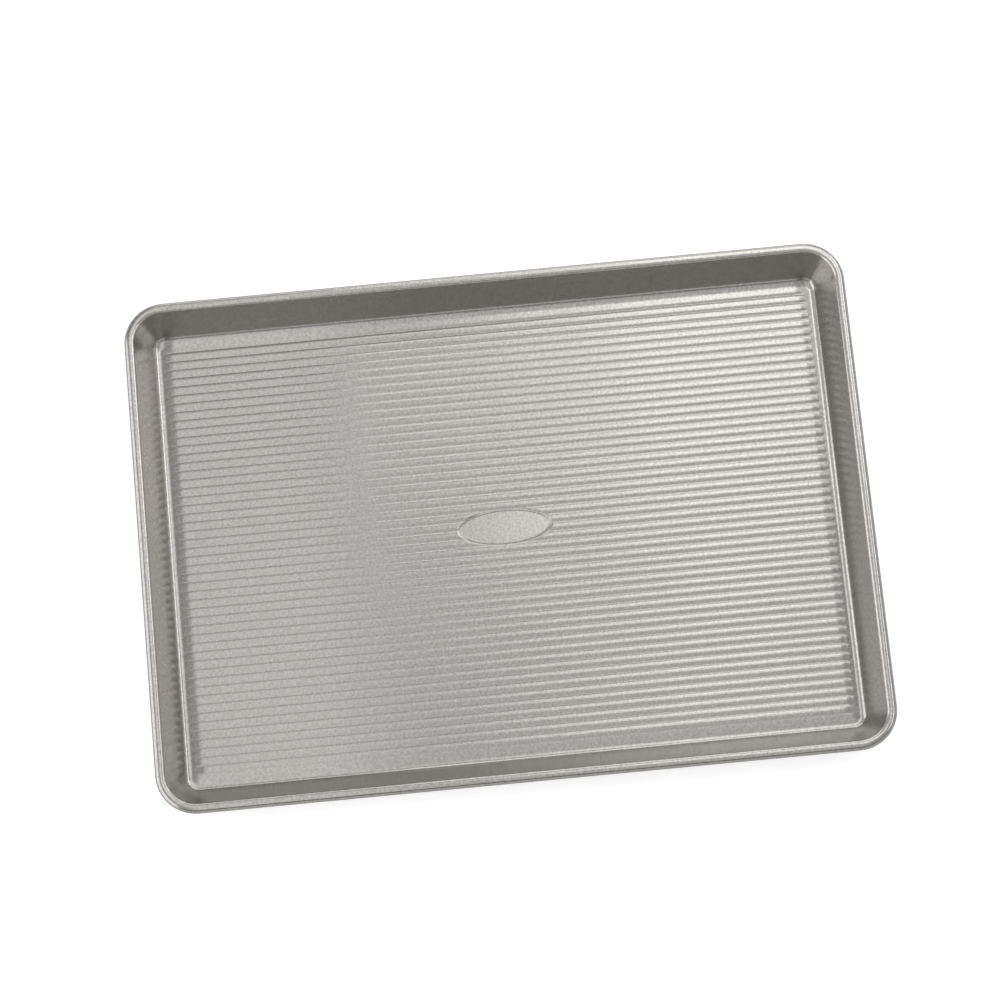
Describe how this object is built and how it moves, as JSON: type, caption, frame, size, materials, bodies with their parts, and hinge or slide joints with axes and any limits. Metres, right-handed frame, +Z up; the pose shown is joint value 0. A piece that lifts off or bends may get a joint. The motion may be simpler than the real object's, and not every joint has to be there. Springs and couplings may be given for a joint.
{
  "type": "jelly roll pan",
  "caption": "Shallow rectangular baking pan of coated steel, with a fluted floor, leaning walls, round corners and a rim rolled over a wire.",
  "frame": {"origin": "centre of the resting plane, under the middle of the pan", "axes": "+X along the pan's length, +Y across it towards the narrower flat border, +Z up out of the open side"},
  "size_m": [0.457, 0.3262, 0.0254],
  "materials": {
    "coated_sheet": "grainy satin grey release coating over aluminised steel",
    "rim_wire": "plain drawn steel wire"
  },
  "bodies": {
    "root": {"pan_body": "coated_sheet", "rim_wire": "rim_wire"}
  },
  "joints": []
}
